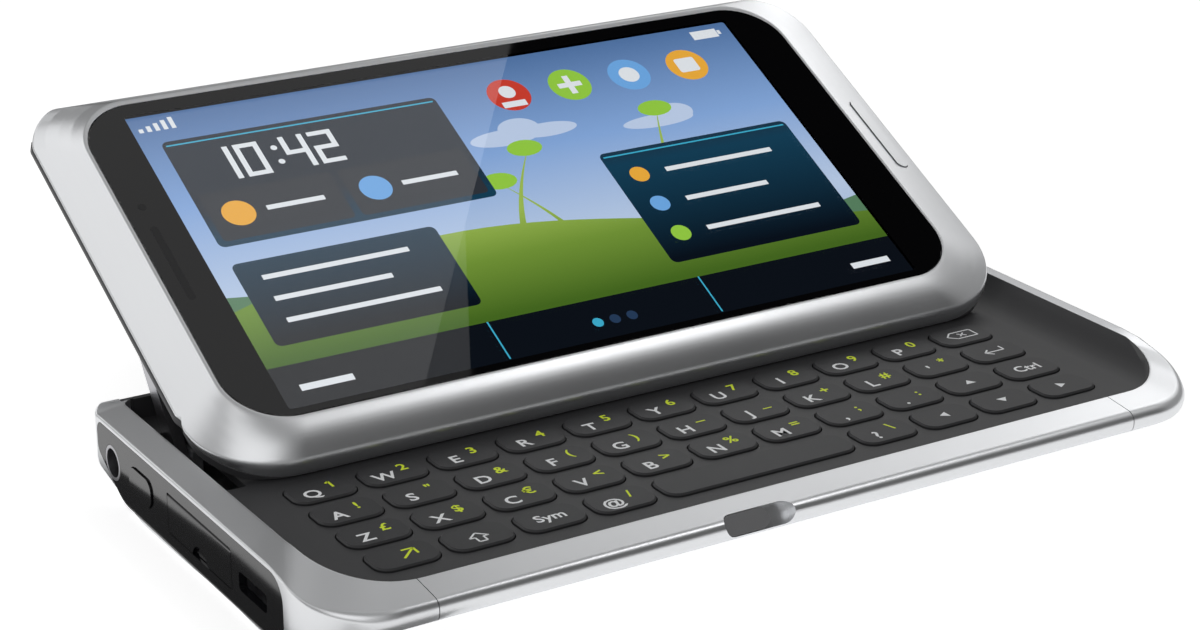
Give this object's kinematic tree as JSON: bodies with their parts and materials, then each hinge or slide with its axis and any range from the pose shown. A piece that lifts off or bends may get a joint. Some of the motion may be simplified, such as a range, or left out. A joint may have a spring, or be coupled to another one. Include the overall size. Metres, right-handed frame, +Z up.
{
  "type": "slider phone",
  "caption": "Phone whose touch display slides back and tilts up on two lift arms from a base with a full keyboard and ports on one end.",
  "frame": {"origin": "centre of the flat underside of the base, in the plane that rests on a table", "axes": "+X along the phone's length towards the right end of the keyboard, +Y away from the user (the open display is behind), +Z up"},
  "size_m": [0.1239, 0.0905, 0.0394],
  "materials": {
    "silver_shell": "satin, bead-blasted",
    "port_black": "polished black",
    "deck_charcoal": "fine matt charcoal",
    "key_charcoal": "fine matt charcoal with printed legends",
    "back_charcoal": "matt charcoal",
    "board": "dark solder mask",
    "battery_wrap": "satin foil",
    "steel": "brushed",
    "screen_glass": "polished",
    "picture": "lit picture behind glass",
    "trim": "satin"
  },
  "bodies": {
    "base": {"rear_cover": "silver_shell", "left_end_cap": "silver_shell", "right_end_cap": "silver_shell", "port_panel": "port_black", "keyboard_deck": "deck_charcoal", "main_board": "board", "battery": "battery_wrap", "case_screws": "steel"},
    "arms": {"lift_arms": "steel"},
    "display": {"display_frame": "silver_shell", "display_back": "back_charcoal", "cover_glass": "screen_glass", "display_panel": "picture"},
    "menu_key": {"menu_key": "trim"},
    "lock_slider": {"lock_slider": "trim"},
    "power_button": {"power_button": "port_black"},
    "hdmi_cover": {"hdmi_cover": "port_black"},
    "volume_key": {"volume_key": "trim"},
    "key_q": {"key_q": "key_charcoal"},
    "key_w": {"key_w": "key_charcoal"},
    "key_e": {"key_e": "key_charcoal"},
    "key_r": {"key_r": "key_charcoal"},
    "key_t": {"key_t": "key_charcoal"},
    "key_y": {"key_y": "key_charcoal"},
    "key_u": {"key_u": "key_charcoal"},
    "key_i": {"key_i": "key_charcoal"},
    "key_o": {"key_o": "key_charcoal"},
    "key_p": {"key_p": "key_charcoal"},
    "key_backspace": {"key_backspace": "key_charcoal"},
    "key_a": {"key_a": "key_charcoal"},
    "key_s": {"key_s": "key_charcoal"},
    "key_d": {"key_d": "key_charcoal"},
    "key_f": {"key_f": "key_charcoal"},
    "key_g": {"key_g": "key_charcoal"},
    "key_h": {"key_h": "key_charcoal"},
    "key_j": {"key_j": "key_charcoal"},
    "key_k": {"key_k": "key_charcoal"},
    "key_l": {"key_l": "key_charcoal"},
    "key_apostrophe": {"key_apostrophe": "key_charcoal"},
    "key_enter": {"key_enter": "key_charcoal"},
    "key_z": {"key_z": "key_charcoal"},
    "key_x": {"key_x": "key_charcoal"},
    "key_c": {"key_c": "key_charcoal"},
    "key_v": {"key_v": "key_charcoal"},
    "key_b": {"key_b": "key_charcoal"},
    "key_n": {"key_n": "key_charcoal"},
    "key_m": {"key_m": "key_charcoal"},
    "key_comma": {"key_comma": "key_charcoal"},
    "key_period": {"key_period": "key_charcoal"},
    "key_up": {"key_up": "key_charcoal"},
    "key_ctrl": {"key_ctrl": "key_charcoal"},
    "key_fn": {"key_fn": "key_charcoal"},
    "key_shift": {"key_shift": "key_charcoal"},
    "key_sym": {"key_sym": "key_charcoal"},
    "key_at": {"key_at": "key_charcoal"},
    "key_space": {"key_space": "key_charcoal"},
    "key_question": {"key_question": "key_charcoal"},
    "key_left": {"key_left": "key_charcoal"},
    "key_down": {"key_down": "key_charcoal"},
    "key_right": {"key_right": "key_charcoal"}
  },
  "joints": [
    {"name": "arms_swing", "type": "hinge", "parent": "base", "child": "arms", "pos_m": [0, 0.02107, 0.0054], "axis": [1, 0, 0], "range_deg": [0, 114.38]},
    {"name": "display_turn", "type": "hinge", "parent": "arms", "child": "display", "pos_m": [0, 0.03299, 0.02225], "axis": [1, 0, 0], "range_deg": [-141.51, 0]},
    {"name": "hdmi_cover_hinge", "type": "hinge", "parent": "base", "child": "hdmi_cover", "pos_m": [-0.0614, 0, 0.00675], "axis": [0, 1, 0], "range_deg": [0, 95]},
    {"name": "lock_slide", "type": "slide", "parent": "base", "child": "lock_slider", "axis": [1, 0, 0], "range_m": [0, 0.0025], "stiffness_N_per_m": 150},
    {"name": "volume_slide", "type": "slide", "parent": "base", "child": "volume_key", "axis": [1, 0, 0], "range_m": [-0.0008, 0.0008], "stiffness_N_per_m": 300},
    {"name": "power_press", "type": "slide", "parent": "base", "child": "power_button", "axis": [1, 0, 0], "range_m": [0, 0.0003], "stiffness_N_per_m": 500},
    {"name": "menu_press", "type": "slide", "parent": "display", "child": "menu_key", "axis": [0, 0.4552, -0.8904], "range_m": [0, 0.00025], "stiffness_N_per_m": 500},
    {"name": "key_q_press", "type": "slide", "parent": "base", "child": "key_q", "axis": [0, 0, -1], "range_m": [0, 0.0003], "stiffness_N_per_m": 400},
    {"name": "key_w_press", "type": "slide", "parent": "base", "child": "key_w", "axis": [0, 0, -1], "range_m": [0, 0.0003], "stiffness_N_per_m": 400},
    {"name": "key_e_press", "type": "slide", "parent": "base", "child": "key_e", "axis": [0, 0, -1], "range_m": [0, 0.0003], "stiffness_N_per_m": 400},
    {"name": "key_r_press", "type": "slide", "parent": "base", "child": "key_r", "axis": [0, 0, -1], "range_m": [0, 0.0003], "stiffness_N_per_m": 400},
    {"name": "key_t_press", "type": "slide", "parent": "base", "child": "key_t", "axis": [0, 0, -1], "range_m": [0, 0.0003], "stiffness_N_per_m": 400},
    {"name": "key_y_press", "type": "slide", "parent": "base", "child": "key_y", "axis": [0, 0, -1], "range_m": [0, 0.0003], "stiffness_N_per_m": 400},
    {"name": "key_u_press", "type": "slide", "parent": "base", "child": "key_u", "axis": [0, 0, -1], "range_m": [0, 0.0003], "stiffness_N_per_m": 400},
    {"name": "key_i_press", "type": "slide", "parent": "base", "child": "key_i", "axis": [0, 0, -1], "range_m": [0, 0.0003], "stiffness_N_per_m": 400},
    {"name": "key_o_press", "type": "slide", "parent": "base", "child": "key_o", "axis": [0, 0, -1], "range_m": [0, 0.0003], "stiffness_N_per_m": 400},
    {"name": "key_p_press", "type": "slide", "parent": "base", "child": "key_p", "axis": [0, 0, -1], "range_m": [0, 0.0003], "stiffness_N_per_m": 400},
    {"name": "key_backspace_press", "type": "slide", "parent": "base", "child": "key_backspace", "axis": [0, 0, -1], "range_m": [0, 0.0003], "stiffness_N_per_m": 400},
    {"name": "key_a_press", "type": "slide", "parent": "base", "child": "key_a", "axis": [0, 0, -1], "range_m": [0, 0.0003], "stiffness_N_per_m": 400},
    {"name": "key_s_press", "type": "slide", "parent": "base", "child": "key_s", "axis": [0, 0, -1], "range_m": [0, 0.0003], "stiffness_N_per_m": 400},
    {"name": "key_d_press", "type": "slide", "parent": "base", "child": "key_d", "axis": [0, 0, -1], "range_m": [0, 0.0003], "stiffness_N_per_m": 400},
    {"name": "key_f_press", "type": "slide", "parent": "base", "child": "key_f", "axis": [0, 0, -1], "range_m": [0, 0.0003], "stiffness_N_per_m": 400},
    {"name": "key_g_press", "type": "slide", "parent": "base", "child": "key_g", "axis": [0, 0, -1], "range_m": [0, 0.0003], "stiffness_N_per_m": 400},
    {"name": "key_h_press", "type": "slide", "parent": "base", "child": "key_h", "axis": [0, 0, -1], "range_m": [0, 0.0003], "stiffness_N_per_m": 400},
    {"name": "key_j_press", "type": "slide", "parent": "base", "child": "key_j", "axis": [0, 0, -1], "range_m": [0, 0.0003], "stiffness_N_per_m": 400},
    {"name": "key_k_press", "type": "slide", "parent": "base", "child": "key_k", "axis": [0, 0, -1], "range_m": [0, 0.0003], "stiffness_N_per_m": 400},
    {"name": "key_l_press", "type": "slide", "parent": "base", "child": "key_l", "axis": [0, 0, -1], "range_m": [0, 0.0003], "stiffness_N_per_m": 400},
    {"name": "key_apostrophe_press", "type": "slide", "parent": "base", "child": "key_apostrophe", "axis": [0, 0, -1], "range_m": [0, 0.0003], "stiffness_N_per_m": 400},
    {"name": "key_enter_press", "type": "slide", "parent": "base", "child": "key_enter", "axis": [0, 0, -1], "range_m": [0, 0.0003], "stiffness_N_per_m": 400},
    {"name": "key_z_press", "type": "slide", "parent": "base", "child": "key_z", "axis": [0, 0, -1], "range_m": [0, 0.0003], "stiffness_N_per_m": 400},
    {"name": "key_x_press", "type": "slide", "parent": "base", "child": "key_x", "axis": [0, 0, -1], "range_m": [0, 0.0003], "stiffness_N_per_m": 400},
    {"name": "key_c_press", "type": "slide", "parent": "base", "child": "key_c", "axis": [0, 0, -1], "range_m": [0, 0.0003], "stiffness_N_per_m": 400},
    {"name": "key_v_press", "type": "slide", "parent": "base", "child": "key_v", "axis": [0, 0, -1], "range_m": [0, 0.0003], "stiffness_N_per_m": 400},
    {"name": "key_b_press", "type": "slide", "parent": "base", "child": "key_b", "axis": [0, 0, -1], "range_m": [0, 0.0003], "stiffness_N_per_m": 400},
    {"name": "key_n_press", "type": "slide", "parent": "base", "child": "key_n", "axis": [0, 0, -1], "range_m": [0, 0.0003], "stiffness_N_per_m": 400},
    {"name": "key_m_press", "type": "slide", "parent": "base", "child": "key_m", "axis": [0, 0, -1], "range_m": [0, 0.0003], "stiffness_N_per_m": 400},
    {"name": "key_comma_press", "type": "slide", "parent": "base", "child": "key_comma", "axis": [0, 0, -1], "range_m": [0, 0.0003], "stiffness_N_per_m": 400},
    {"name": "key_period_press", "type": "slide", "parent": "base", "child": "key_period", "axis": [0, 0, -1], "range_m": [0, 0.0003], "stiffness_N_per_m": 400},
    {"name": "key_up_press", "type": "slide", "parent": "base", "child": "key_up", "axis": [0, 0, -1], "range_m": [0, 0.0003], "stiffness_N_per_m": 400},
    {"name": "key_ctrl_press", "type": "slide", "parent": "base", "child": "key_ctrl", "axis": [0, 0, -1], "range_m": [0, 0.0003], "stiffness_N_per_m": 400},
    {"name": "key_fn_press", "type": "slide", "parent": "base", "child": "key_fn", "axis": [0, 0, -1], "range_m": [0, 0.0003], "stiffness_N_per_m": 400},
    {"name": "key_shift_press", "type": "slide", "parent": "base", "child": "key_shift", "axis": [0, 0, -1], "range_m": [0, 0.0003], "stiffness_N_per_m": 400},
    {"name": "key_sym_press", "type": "slide", "parent": "base", "child": "key_sym", "axis": [0, 0, -1], "range_m": [0, 0.0003], "stiffness_N_per_m": 400},
    {"name": "key_at_press", "type": "slide", "parent": "base", "child": "key_at", "axis": [0, 0, -1], "range_m": [0, 0.0003], "stiffness_N_per_m": 400},
    {"name": "key_space_press", "type": "slide", "parent": "base", "child": "key_space", "axis": [0, 0, -1], "range_m": [0, 0.0003], "stiffness_N_per_m": 400},
    {"name": "key_question_press", "type": "slide", "parent": "base", "child": "key_question", "axis": [0, 0, -1], "range_m": [0, 0.0003], "stiffness_N_per_m": 400},
    {"name": "key_left_press", "type": "slide", "parent": "base", "child": "key_left", "axis": [0, 0, -1], "range_m": [0, 0.0003], "stiffness_N_per_m": 400},
    {"name": "key_down_press", "type": "slide", "parent": "base", "child": "key_down", "axis": [0, 0, -1], "range_m": [0, 0.0003], "stiffness_N_per_m": 400},
    {"name": "key_right_press", "type": "slide", "parent": "base", "child": "key_right", "axis": [0, 0, -1], "range_m": [0, 0.0003], "stiffness_N_per_m": 400}
  ],
  "couplings": [
    {"joint": "display_turn", "follows": "arms_swing", "ratio": -1.2368}
  ]
}
